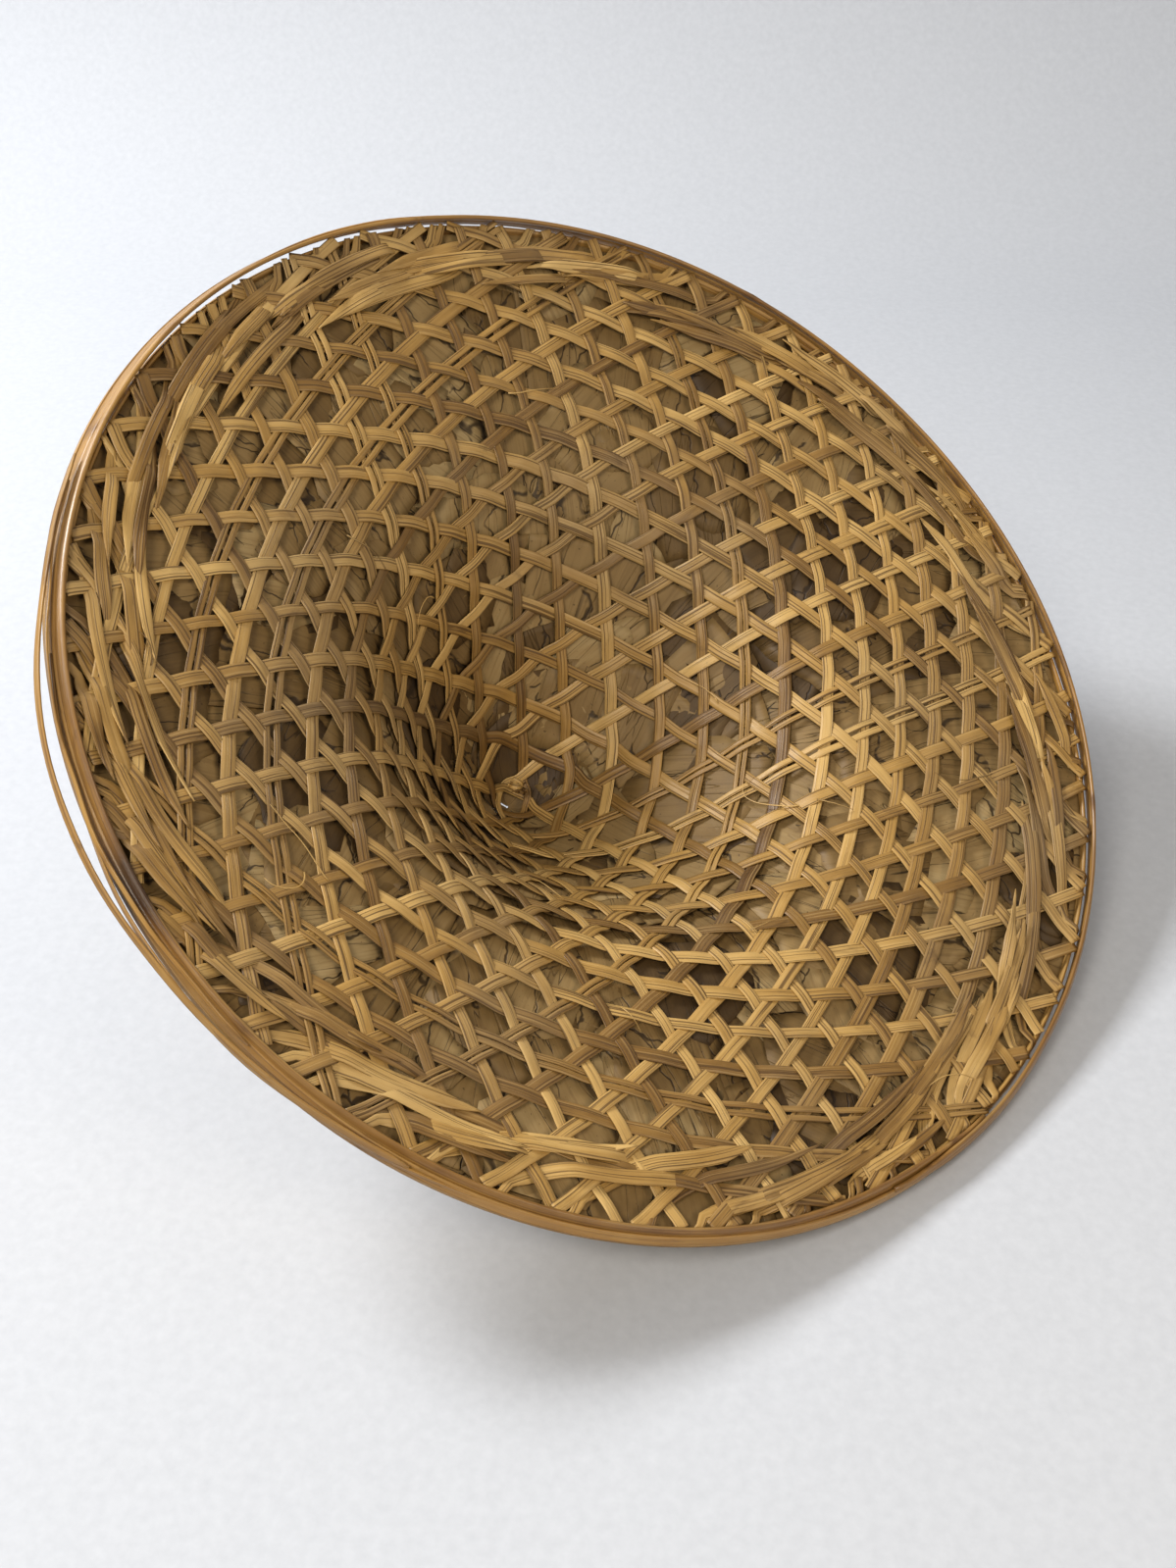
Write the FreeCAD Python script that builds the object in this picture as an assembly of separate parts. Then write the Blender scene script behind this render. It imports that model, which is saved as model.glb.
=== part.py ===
import FreeCAD, Part
import math
import os

Vec = FreeCAD.Vector

# Overall form of the hat: the middle surface of the wall, turned about +Z, crown up
RIM_RADIUS = 203.0  # where the wall ends, inside the rim hoops
CROWN_HEIGHT = 126.9  # tip of the middle surface above the rim's resting plane
CROWN_HALF_ANGLE = math.radians(40.8)  # crown side against the axis
TIP_ROUNDING = 13.0
BRIM_SLOPE = math.radians(11.6)
FLARE_SOFTNESS = 8.2  # how gently the crown runs out into the brim
RIM_LIFT = 6.5  # middle surface above the resting plane at the rim

# Open hexagonal weave
CROWN_PITCH = 25.49  # natural spacing of neighbouring openings in the crown
BRIM_PITCH = 19.22  # and in the brim, where the weave is closer
PITCH_CHANGE = (34.0, 125.0)  # radii between which the spacing changes
LATTICE_RINGS = 15  # rings of openings round the one at the tip
SECTORS = 4  # the opening at the tip has four sides, so the weave repeats four times round it
LATTICE_TURN = math.radians(47.2)
OPENING_SIDES = 6  # of every other opening
RING_NEIGHBOURS = 4  # two beside it in its ring and two shared with them in the next ring
RELAX_ROUNDS = 300
FIRST_SPACING = 0.98  # spacing of the rings before they settle, as a share of the pitch
RELAX_GAIN = 0.16
ARC_STEP = 0.5  # radius step of the table of spacings counted along the wall
ARC_MARGIN = 90.0  # how far past the rim the table runs
SHORTEST_CLIP = 0.2  # share of a strip's last step below which it isn't kept
COPY_TOLERANCE = 1.0  # strips this near to each other after a turn count as copies
STRIP_WIDTH = 5.0
STRIP_THICKNESS = 0.6
WEAVE_SWING = 0.5  # rise and fall of a strip about its layer
INNER_LAYER = -2.75  # layer offset from the middle surface, along its normal
OUTER_LAYER = 2.75
OUTER_STAGGER = math.radians(11.0)
INNER_END_RADIUS = 186.0  # where the inner strips turn along the rim
OUTER_END_RADIUS = 194.5
END_RUN = 62.0  # length of the turned end along the rim
END_FLARE = math.radians(6.0)  # the turned end drifts outwards at this angle
END_LIMIT_RADIUS = 197.0  # and holds this radius once there
END_SINK = 1.2  # how far it sinks below its neighbours over its run
CLOCKWISE_SINK = 1.4
SINK_RUN = 12.0
TURN_STEP = 4.0
STRAIGHT_STEP = 8.0
MAX_TURN = math.radians(20.0)
TIP_GATHER = 0.35  # strips narrow to this share of their width on the axis
GATHER_RADIUS = 17.0

# Dried leaf lining between the two woven layers
LEAF_THICKNESS = 0.5
LEAF_TILT = 1.3  # rise from one side edge to the other, so leaves overlap like shingles
LEAF_OVERLAP = math.radians(6.0)
CROWN_LEAVES = 6
BRIM_LEAVES = 8
CROWN_LEAF_SPAN = (9.0, 84.0)  # from radius, to radius
BRIM_LEAF_SPAN = (80.0, 201.0)
BRIM_LEAF_LAYER = 0.95
BRIM_LEAF_START = math.radians(17.0)
CROWN_LEAF_LAYER = -0.95
CROWN_LEAF_ROWS = 14
BRIM_LEAF_ROWS = 8
LEAF_COLUMNS = 8
TIP_LEAF_RADIUS = 13.0
TIP_LEAF_LAYER = 0.2
TIP_LEAF_STEPS = 6

# Rim hoops, each a split bamboo length whose ends lap. The base hoop is what the hat rests on
HOOPS = (
    # node, lap at (degrees), radius, mid height, width, thickness
    ("core_hoop", 100.0, 203.2, 7.0, 3.6, 1.4),
    ("base_hoop", 215.0, 205.2, 2.6, 5.2, 2.0),
    ("outer_hoop", 40.0, 207.3, 5.6, 4.4, 1.4),
    ("top_hoop", 130.0, 203.6, 11.4, 3.4, 1.5),
)
HOOP_LAP = math.radians(14.0)
HOOP_STEPS = 90
LAP_GAP = 0.3
LOOSE_CENTRE = math.radians(315.0)
LOOSE_HALF_ARC = math.radians(44.0)
LOOSE_RADIUS = 207.0
LOOSE_BOW = 8.0
LOOSE_HEIGHT = 1.7
LOOSE_WIDTH = 2.8
LOOSE_THICKNESS = 0.9
LOOSE_STEPS = 24

# Curled strip end inside the tip
KNOT_RADIUS = 3.0
KNOT_TURN = math.radians(300.0)
KNOT_PITCH = 1.5
KNOT_HEIGHT = 108.9
KNOT_WIDTH = 3.0
KNOT_STEPS = 12

os.makedirs("parts", exist_ok=True)


def softMax(a, b, softness):
    top = max(a, b)
    return top + softness * math.log(math.exp((a - top) / softness) + math.exp((b - top) / softness))


def rawHeight(r):
    run = math.sqrt(r * r + TIP_ROUNDING**2) - TIP_ROUNDING
    crown = CROWN_HEIGHT - run / math.tan(CROWN_HALF_ANGLE)
    brim = RIM_LIFT + (RIM_RADIUS - r) * math.tan(BRIM_SLOPE)
    return softMax(crown, brim, FLARE_SOFTNESS)


def slopeAt(r):
    step = 0.05
    return (rawHeight(r + step) - rawHeight(max(r - step, 0.0))) / (r + step - max(r - step, 0.0))


def surfacePoint(x, y, offset):
    """Point over (x, y) moved along the wall's outward normal, and that normal."""
    r = math.hypot(x, y)
    slope = slopeAt(r)
    ux, uy = (x / r, y / r) if r > 1e-6 else (1.0, 0.0)
    normal = Vec(-slope * ux, -slope * uy, 1.0)
    normal.normalize()
    return Vec(x, y, rawHeight(r)) + normal * offset, normal


def pitchAt(r):
    share = min(1.0, max(0.0, (r - PITCH_CHANGE[0]) / (PITCH_CHANGE[1] - PITCH_CHANGE[0])))
    return CROWN_PITCH + (BRIM_PITCH - CROWN_PITCH) * share * share * (3.0 - 2.0 * share)


def growLattice():
    """Vertices are the centres of the openings. Every opening has six sides except the one at
    the tip, which has one for each sector."""
    rings = [[0], []]
    parents = {0: 0}
    triangles = []
    for j in range(SECTORS):
        rings[1].append(j + 1)
        parents[j + 1] = 1
    for j in range(SECTORS):
        triangles.append((0, rings[1][j], rings[1][(j + 1) % SECTORS]))
    count = 1 + SECTORS
    for k in range(1, LATTICE_RINGS):
        ring = rings[k]
        n = len(ring)
        fresh = []
        shared = {}
        own = {}
        for i, v in enumerate(ring):
            own[i] = []
            for _ in range(OPENING_SIDES - RING_NEIGHBOURS - parents[v]):
                own[i].append(count)
                parents[count] = 1
                fresh.append(count)
                count += 1
            shared[i] = count
            parents[count] = 2
            fresh.append(count)
            count += 1
        for i, v in enumerate(ring):
            fan = [shared[(i - 1) % n]] + own[i] + [shared[i]]
            for a, b in zip(fan, fan[1:]):
                triangles.append((v, a, b))
            triangles.append((v, shared[i], ring[(i + 1) % n]))
        rings.append(fresh)
    return rings, triangles, count


def relax(rings, triangles, count):
    """Settles the openings into even spacing on the hat's surface."""
    arc = [0.0]
    for i in range(int((RIM_RADIUS + ARC_MARGIN) / ARC_STEP)):
        rise = rawHeight((i + 1) * ARC_STEP) - rawHeight(i * ARC_STEP)
        arc.append(arc[-1] + math.hypot(ARC_STEP, rise) / pitchAt((i + 1) * ARC_STEP))

    def radiusAt(s):
        low = 0
        high = len(arc) - 1
        while high - low > 1:
            mid = (low + high) // 2
            if arc[mid] <= s:
                low = mid
            else:
                high = mid
        return (low + (s - arc[low]) / (arc[high] - arc[low])) * ARC_STEP

    place = {0: (0.0, 0.0)}
    for k, ring in enumerate(rings):
        if k == 0:
            continue
        for j, v in enumerate(ring):
            r = radiusAt(k * FIRST_SPACING)
            angle = LATTICE_TURN + 2.0 * math.pi * j / len(ring)
            place[v] = (r * math.cos(angle), r * math.sin(angle))
    neighbours = {v: set() for v in range(count)}
    for a, b, c in triangles:
        neighbours[a].update((b, c))
        neighbours[b].update((a, c))
        neighbours[c].update((a, b))
    for _ in range(RELAX_ROUNDS):
        space = {v: Vec(x, y, rawHeight(math.hypot(x, y))) for v, (x, y) in place.items()}
        for v in range(1, count):
            push = Vec(0, 0, 0)
            x, y = place[v]
            r = math.hypot(x, y)
            for w in neighbours[v]:
                gap = space[w] - space[v]
                rest = pitchAt((r + math.hypot(place[w][0], place[w][1])) / 2.0)
                push += gap * (1.0 - rest / gap.Length)
            slope = slopeAt(r)
            outward = Vec(x / r, y / r, slope) * (1.0 / math.hypot(1.0, slope))
            around = Vec(-y / r, x / r, 0)
            dr = push.dot(outward) / math.hypot(1.0, slope) * RELAX_GAIN
            da = push.dot(around) * RELAX_GAIN
            place[v] = (x + dr * x / r - da * y / r, y + dr * y / r + da * x / r)
    return place


def traceStrips(triangles, place):
    """Each strip runs straight on through the middles of the lattice's edges. Returns lists of
    (x, y, level) where level is +1 over and -1 under."""
    side = {}
    for t in triangles:
        for i in range(3):
            side[(t[i], t[(i + 1) % 3])] = t

    segments = {}
    for t in triangles:
        for i in range(3):
            segments[(t, t[i])] = False

    def edgesOf(t, corner):
        i = t.index(corner)
        return (t[i - 1], corner), (corner, t[(i + 1) % 3])

    def middle(edge):
        (ax, ay), (bx, by) = place[edge[0]], place[edge[1]]
        return (ax + bx) / 2.0, (ay + by) / 2.0

    def follow(t, corner, forward):
        """Edges met from this segment on, leaving by the edge after or before the corner in turn."""
        path = []
        while True:
            before, after = edgesOf(t, corner)
            edge = after if forward else before
            path.append((middle(edge), -1.0 if forward else 1.0))
            across = side.get((edge[1], edge[0]))
            if across is None:
                return path, False
            other = edge[0] if edge[1] == corner else edge[1]
            t, corner, forward = across, other, not forward
            if segments[(t, corner)]:
                return path, True
            segments[(t, corner)] = True

    strips = []
    for key in list(segments):
        if segments[key]:
            continue
        segments[key] = True
        ahead, closed = follow(key[0], key[1], True)
        if closed:
            strips.append([(p[0], p[1], level) for p, level in ahead])
            continue
        behind, _ = follow(key[0], key[1], False)
        run = behind[::-1] + ahead
        strips.append([(p[0], p[1], level) for p, level in run])
    return strips


def clip(strip, limit):
    """The stretch of the strip inside the limit radius, ending exactly on it."""
    inside = [i for i, p in enumerate(strip) if math.hypot(p[0], p[1]) < limit]
    if len(inside) < 3:
        return None
    run = list(strip[inside[0]:inside[-1] + 1])
    for end, nxt in ((inside[0], inside[0] - 1), (inside[-1], inside[-1] + 1)):
        if nxt < 0 or nxt >= len(strip):
            continue
        a, b = strip[end], strip[nxt]
        ra, rb = math.hypot(a[0], a[1]), math.hypot(b[0], b[1])
        share = (limit - ra) / (rb - ra)
        if share < SHORTEST_CLIP:
            continue
        level = a[2] * math.cos(math.pi * share)
        point = (a[0] + (b[0] - a[0]) * share, a[1] + (b[1] - a[1]) * share, level)
        if nxt < end:
            run.insert(0, point)
        else:
            run.append(point)
    return run


def wrapped(angle):
    return (angle + math.pi) % (2.0 * math.pi) - math.pi


def turnedEnd(last, previous):
    """Bends a strip's end round to run along the rim, sinking under the ends that follow it.
    Ends that turn clockwise lie below those that turn the other way. Returns (x, y, level, sink)
    points beyond the last one."""
    x, y, level = last
    heading = math.atan2(y - previous[1], x - previous[0])
    turn = 1.0 if wrapped(heading - math.atan2(y, x)) >= 0 else -1.0
    points = []
    run = 0.0
    while run < END_RUN:
        flare = END_FLARE if math.hypot(x, y) < END_LIMIT_RADIUS else -END_FLARE
        wanted = math.atan2(y, x) + turn * (math.pi / 2.0 - flare)
        gap = wrapped(wanted - heading)
        step = TURN_STEP if abs(gap) > MAX_TURN else STRAIGHT_STEP
        heading += max(-MAX_TURN, min(MAX_TURN, gap))
        x += step * math.cos(heading)
        y += step * math.sin(heading)
        run += step
        share = min(run / END_RUN, 1.0)
        below = CLOCKWISE_SINK * min(run / SINK_RUN, 1.0) if turn < 0 else 0.0
        points.append((x, y, level * (1.0 - share), -below - END_SINK * share))
    return points


def ribbon(centres, normals, sides, widths, thickness):
    """A closed solid ribbon: four long faces ruled between four splines, and two flat ends."""
    rails = []
    for su, sv in ((-1, -1), (1, -1), (1, 1), (-1, 1)):
        line = []
        for c, n, b, w in zip(centres, normals, sides, widths):
            line.append(c + b * (su * w / 2.0) + n * (sv * thickness / 2.0))
        curve = Part.BSplineCurve()
        curve.interpolate(line)
        rails.append(curve.toShape())
    faces = []
    for i in range(4):
        faces.append(Part.makeRuledSurface(rails[i], rails[(i + 1) % 4]))
    for at in (0, -1):
        corners = [rail.Vertexes[at].Point for rail in rails]
        faces.append(Part.Face(Part.makePolygon(corners + [corners[0]])))
    shell = Part.makeShell(faces)
    shell.sewShape()
    solid = Part.makeSolid(Part.Shell(shell.Faces))
    if solid.Volume < 0:
        solid.reverse()
    return solid


def stripSolid(run, layer):
    """Lays a strip's (x, y, level[, sink]) points on the wall at its layer."""
    dense = []
    for i, p in enumerate(run):
        sink = p[3] if len(p) > 3 else 0.0
        dense.append((p[0], p[1], layer + p[2] * WEAVE_SWING + sink))
        if i + 1 < len(run):
            q = run[i + 1]
            before = run[i - 1] if i > 0 else p
            after = run[i + 2] if i + 2 < len(run) else q
            mx = (9.0 * (p[0] + q[0]) - before[0] - after[0]) / 16.0
            my = (9.0 * (p[1] + q[1]) - before[1] - after[1]) / 16.0
            sinkNext = q[3] if len(q) > 3 else 0.0
            height = layer + (p[2] + q[2]) / 2.0 * WEAVE_SWING + (sink + sinkNext) / 2.0
            dense.append((mx, my, height))
    centres = []
    normals = []
    widths = []
    for x, y, offset in dense:
        point, normal = surfacePoint(x, y, offset)
        centres.append(point)
        normals.append(normal)
        gather = min(1.0, TIP_GATHER + (1.0 - TIP_GATHER) * math.hypot(x, y) / GATHER_RADIUS)
        widths.append(STRIP_WIDTH * gather)
    sides = []
    for i in range(len(centres)):
        along = centres[min(i + 1, len(centres) - 1)] - centres[max(i - 1, 0)]
        across = normals[i].cross(along)
        across.normalize()
        sides.append(across)
    return ribbon(centres, normals, sides, widths, STRIP_THICKNESS)


def groupBySector(strips):
    """Gathers strips that are copies of each other, one in each sector."""
    groups = []
    left = list(strips)

    def turned(strip, times):
        c = math.cos(times * 2.0 * math.pi / SECTORS)
        s = math.sin(times * 2.0 * math.pi / SECTORS)
        return [(c * p[0] - s * p[1], s * p[0] + c * p[1]) for p in strip]

    def same(a, b):
        if len(a) != len(b):
            return False
        for flat in (a, a[::-1]):
            worst = max(math.hypot(p[0] - q[0], p[1] - q[1]) for p, q in zip(flat, b))
            if worst < COPY_TOLERANCE:
                return True
        return False

    while left:
        first = left.pop(0)
        group = [first]
        for times in range(1, SECTORS):
            image = turned(first, times)
            for other in left:
                if same(image, [(p[0], p[1]) for p in other]):
                    group.append(other)
                    left.remove(other)
                    break
        groups.append(group)
    groups.sort(key=lambda g: min(math.hypot(p[0], p[1]) for p in g[0]))
    return groups


def write(node, shapes):
    shape = shapes[0] if len(shapes) == 1 else Part.makeCompound(shapes)
    for solid in shape.Solids:
        if not solid.isValid():
            print("invalid solid in", node)
    shape.exportStep("parts/%s.step" % node)
    box = shape.BoundBox
    print(node, len(shape.Solids), "solids", "from z", round(box.ZMin, 1), "to", round(box.ZMax, 1))


def bentSplint(start, sweep, steps, radiusOf, bottom, width, thickness):
    """A splint bent round the rim on edge: its flat outline from above, raised to its width."""
    inner = []
    outer = []
    for i in range(steps + 1):
        share = i / steps
        angle = start + sweep * share
        out = Vec(math.cos(angle), math.sin(angle), 0)
        inner.append(out * (radiusOf(share) - thickness / 2.0) + Vec(0, 0, bottom))
        outer.append(out * (radiusOf(share) + thickness / 2.0) + Vec(0, 0, bottom))
    within = Part.BSplineCurve()
    within.interpolate(inner)
    without = Part.BSplineCurve()
    without.interpolate(outer)
    outline = Part.Wire([
        within.toShape(),
        Part.makeLine(inner[-1], outer[-1]),
        without.toShape(),
        Part.makeLine(outer[0], inner[0]),
    ])
    return Part.Face(outline).extrude(Vec(0, 0, width))


def hoop(start, radius, height, width, thickness):
    """A flat splint bent into a ring, its two ends lapping side by side."""
    lapShare = HOOP_LAP / (2.0 * math.pi + HOOP_LAP)

    def radiusOf(share):
        late = min(1.0, max(0.0, (share - 1.0) / lapShare + 2.0))
        early = min(1.0, max(0.0, 2.0 - share / lapShare))
        step = late * late * (3.0 - 2.0 * late) - early * early * (3.0 - 2.0 * early)
        return radius + step * (thickness + LAP_GAP) / 2.0

    sweep = 2.0 * math.pi + HOOP_LAP
    return bentSplint(start, sweep, HOOP_STEPS, radiusOf, height - width / 2.0, width, thickness)


def looseSplint():
    """A thin outer splint sprung away from the rim over part of its round."""

    def radiusOf(share):
        return LOOSE_RADIUS + LOOSE_BOW * math.sin(math.pi * share) ** 2

    start = LOOSE_CENTRE - LOOSE_HALF_ARC
    bottom = LOOSE_HEIGHT - LOOSE_WIDTH / 2.0
    sweep = 2.0 * LOOSE_HALF_ARC
    return bentSplint(start, sweep, LOOSE_STEPS, radiusOf, bottom, LOOSE_WIDTH, LOOSE_THICKNESS)


def leaf(start, sweep, span, layer, stepsR, stepsA):
    """One leaf piece: a thin sheet on the wall, its second side edge raised over its neighbour."""
    sheets = []
    for half in (-0.5, 0.5):
        grid = []
        for i in range(stepsR + 1):
            r = span[0] + (span[1] - span[0]) * i / stepsR
            row = []
            for j in range(stepsA + 1):
                share = j / stepsA
                angle = start + sweep * share
                offset = layer + (share - 0.5) * LEAF_TILT + half * LEAF_THICKNESS
                row.append(surfacePoint(r * math.cos(angle), r * math.sin(angle), offset)[0])
            grid.append(row)
        sheets.append(grid)
    low = Part.BSplineSurface()
    low.interpolate(sheets[0])
    high = Part.BSplineSurface()
    high.interpolate(sheets[1])
    faces = [low.toShape(), high.toShape()]
    for pick in (
        lambda g: g[0],
        lambda g: g[-1],
        lambda g: [row[0] for row in g],
        lambda g: [row[-1] for row in g],
    ):
        edges = []
        for face, grid in ((faces[0], sheets[0]), (faces[1], sheets[1])):
            line = pick(grid)
            middle = line[len(line) // 2]
            edges.append(min(face.Edges, key=lambda e: e.distToShape(Part.Vertex(middle))[0]))
        faces.append(Part.makeRuledSurface(edges[0], edges[1]))
    shell = Part.makeShell(faces)
    shell.sewShape()
    solid = Part.makeSolid(Part.Shell(shell.Faces))
    if solid.Volume < 0:
        solid.reverse()
    return solid


def tipLeaf():
    """A small cap of leaf that closes the lining over the tip."""
    lower = []
    upper = []
    for i in range(TIP_LEAF_STEPS + 1):
        r = TIP_LEAF_RADIUS * i / TIP_LEAF_STEPS
        lower.append(surfacePoint(r, 0.0, TIP_LEAF_LAYER)[0])
        upper.append(surfacePoint(r, 0.0, TIP_LEAF_LAYER + LEAF_THICKNESS)[0])
    under = Part.BSplineCurve()
    under.interpolate(lower)
    over = Part.BSplineCurve()
    over.interpolate(upper)
    wire = Part.Wire([
        under.toShape(),
        Part.makeLine(lower[-1], upper[-1]),
        over.toShape(),
        Part.makeLine(upper[0], lower[0]),
    ])
    return Part.Face(wire).revolve(Vec(0, 0, 0), Vec(0, 0, 1), 360)


def tipKnot():
    """The short strip end curled into a loop where the weave closes inside the tip."""
    centres = []
    normals = []
    sides = []
    for i in range(KNOT_STEPS + 1):
        angle = KNOT_TURN * i / KNOT_STEPS
        out = Vec(math.cos(angle), 0, math.sin(angle))
        centres.append(Vec(0, KNOT_PITCH * (i / KNOT_STEPS - 0.5), KNOT_HEIGHT) + out * KNOT_RADIUS)
        normals.append(out)
        sides.append(Vec(0, 1, 0))
    return ribbon(centres, normals, sides, [KNOT_WIDTH] * len(centres), STRIP_THICKNESS)


rings, triangles, count = growLattice()
place = relax(rings, triangles, count)
strips = traceStrips(triangles, place)


def letterName(prefix, index):
    return "%s_strips_%s" % (prefix, "abcdefghijklmnopqrstuvwxyz"[index])


# Inner weave: its ends turn along the rim. Outer weave: turned a little, so openings stagger
innerRuns = [clip(strip, INNER_END_RADIUS) for strip in strips]
for index, group in enumerate(groupBySector([run for run in innerRuns if run])):
    solids = []
    for run in group:
        head = turnedEnd(run[0], run[1])
        tail = turnedEnd(run[-1], run[-2])
        solids.append(stripSolid(head[::-1] + run + tail, INNER_LAYER))
    write(letterName("inner", index), solids)

turnedStrips = []
for strip in strips:
    c = math.cos(OUTER_STAGGER)
    s = math.sin(OUTER_STAGGER)
    turnedStrips.append([(c * x - s * y, s * x + c * y, level) for x, y, level in strip])
outerRuns = [clip(strip, OUTER_END_RADIUS) for strip in turnedStrips]
for index, group in enumerate(groupBySector([run for run in outerRuns if run])):
    write(letterName("outer", index), [stripSolid(run, OUTER_LAYER) for run in group])

# Leaf lining
for i in range(CROWN_LEAVES):
    start = 2.0 * math.pi * i / CROWN_LEAVES
    sweep = 2.0 * math.pi / CROWN_LEAVES + LEAF_OVERLAP
    sheet = leaf(start, sweep, CROWN_LEAF_SPAN, CROWN_LEAF_LAYER, CROWN_LEAF_ROWS, LEAF_COLUMNS)
    write("crown_leaf_%d" % (i + 1), [sheet])
for i in range(BRIM_LEAVES):
    start = BRIM_LEAF_START + 2.0 * math.pi * i / BRIM_LEAVES
    sweep = 2.0 * math.pi / BRIM_LEAVES + LEAF_OVERLAP
    sheet = leaf(start, sweep, BRIM_LEAF_SPAN, BRIM_LEAF_LAYER, BRIM_LEAF_ROWS, LEAF_COLUMNS)
    write("brim_leaf_%d" % (i + 1), [sheet])
write("tip_leaf", [tipLeaf()])

# Rim
for node, start, radius, height, width, thickness in HOOPS:
    write(node, [hoop(math.radians(start), radius, height, width, thickness)])
write("loose_splint", [looseSplint()])
write("tip_curl", [tipKnot()])
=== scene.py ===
import math

import bpy
import numpy as np
from mathutils import Matrix, Vector, noise


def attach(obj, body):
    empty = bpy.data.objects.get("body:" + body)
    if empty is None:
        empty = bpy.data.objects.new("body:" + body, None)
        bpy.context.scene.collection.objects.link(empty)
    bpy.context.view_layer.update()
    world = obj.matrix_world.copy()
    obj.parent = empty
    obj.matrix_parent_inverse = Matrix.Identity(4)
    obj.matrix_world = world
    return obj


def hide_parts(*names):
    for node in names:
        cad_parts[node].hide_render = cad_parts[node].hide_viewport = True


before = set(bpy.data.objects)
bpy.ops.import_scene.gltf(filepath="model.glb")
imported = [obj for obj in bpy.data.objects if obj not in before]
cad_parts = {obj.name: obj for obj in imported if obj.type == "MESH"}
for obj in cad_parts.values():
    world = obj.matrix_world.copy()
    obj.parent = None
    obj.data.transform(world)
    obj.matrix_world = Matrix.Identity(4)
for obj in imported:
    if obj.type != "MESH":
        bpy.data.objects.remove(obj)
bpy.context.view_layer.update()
mm = 0.001
print("frame loaded:", len(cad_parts), "nodes")


class Wire:
    # an output socket, so that shader maths reads as an expression
    def __init__(self, finish, socket):
        self.finish, self.socket = finish, socket

    def maths(self, operation, first, second=None):
        values = {0: first} if second is None else {0: first, 1: second}
        return self.finish.add("ShaderNodeMath", {"operation": operation}, values)

    def __add__(self, other):
        return self.maths("ADD", self, other)

    def __radd__(self, other):
        return self.maths("ADD", other, self)

    def __sub__(self, other):
        return self.maths("SUBTRACT", self, other)

    def __rsub__(self, other):
        return self.maths("SUBTRACT", other, self)

    def __mul__(self, other):
        return self.maths("MULTIPLY", self, other)

    def __rmul__(self, other):
        return self.maths("MULTIPLY", other, self)

    def __pow__(self, other):
        return self.maths("POWER", self, other)

    def size(self):
        return self.maths("ABSOLUTE", self)


class Finish:
    # one material and its nodes
    def __init__(self, name):
        self.material = bpy.data.materials.new(name)
        self.material.use_nodes = True
        self.tree = self.material.node_tree
        self.tree.nodes.clear()

    def add(self, kind, settings=None, values=None, output=0):
        made = self.tree.nodes.new(kind)
        for key, value in (settings or {}).items():
            if key == "stops":
                self.setStops(made.color_ramp, value)
            else:
                setattr(made, key, value)
        for key, value in (values or {}).items():
            if isinstance(value, Wire):
                self.tree.links.new(value.socket, made.inputs[key])
            else:
                made.inputs[key].default_value = value
        return Wire(self, made.outputs[output]) if len(made.outputs) else made

    def setStops(self, ramp, stops):
        while len(ramp.elements) < len(stops):
            ramp.elements.new(0.5)
        for element, (at, colour) in zip(ramp.elements, stops):
            element.position = at
            element.color = (*colour, 1.0) if isinstance(colour, tuple) else (colour,) * 3 + (1.0,)

    def mix(self, share, first, second, mode="MIX"):
        def full(colour):
            return colour if isinstance(colour, Wire) else (*colour, 1.0)

        settings = {"data_type": "RGBA", "blend_type": mode}
        return self.add("ShaderNodeMix", settings, {0: share, 6: full(first), 7: full(second)}, 2)

    def stretched(self, coordinates, along, across, third=1.0):
        values = {0: coordinates, 1: (along, across, third)}
        return self.add("ShaderNodeVectorMath", {"operation": "MULTIPLY"}, values)

    def cloud(self, vector, scale, detail=3.0, roughness=0.55, distortion=0.0):
        values = {"Vector": vector, "Scale": scale, "Detail": detail, "Roughness": roughness,
                  "Distortion": distortion}
        return self.add("ShaderNodeTexNoise", {}, values)

    def ramp(self, value, stops):
        return self.add("ShaderNodeValToRGB", {"stops": stops}, {0: value})

    def attribute(self, name):
        return self.add("ShaderNodeAttribute", {"attribute_name": name}, {}, 2)

    def bump(self, height, strength, distance, normal=None):
        values = {"Height": height, "Strength": strength, "Distance": distance}
        if normal is not None:
            values["Normal"] = normal
        return self.add("ShaderNodeBump", {}, values)

    def close(self, inputs):
        named = {}
        for key, value in inputs.items():
            named[key] = (*value, 1.0) if isinstance(value, tuple) and len(value) == 3 else value
        surface = self.add("ShaderNodeBsdfPrincipled", {}, named)
        self.add("ShaderNodeOutputMaterial", {}, {"Surface": surface})
        return self.material


wall = {"rim": 203.0, "crown": 126.9, "halfAngle": math.radians(40.8), "tip": 13.0,
        "brimSlope": math.radians(11.6), "flare": 8.2, "lift": 6.5, "slopeStep": 0.05}


def wallHeight(r):
    r = np.asarray(r, float)
    run = np.sqrt(r * r + wall["tip"] ** 2) - wall["tip"]
    crown = wall["crown"] - run / math.tan(wall["halfAngle"])
    brim = wall["lift"] + (wall["rim"] - r) * math.tan(wall["brimSlope"])
    return wall["flare"] * np.logaddexp(crown / wall["flare"], brim / wall["flare"])


def wallSlope(r):
    step = wall["slopeStep"]
    r = np.maximum(np.asarray(r, float), 1.2 * step)
    return (wallHeight(r + step) - wallHeight(r - step)) / (2 * step)


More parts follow.
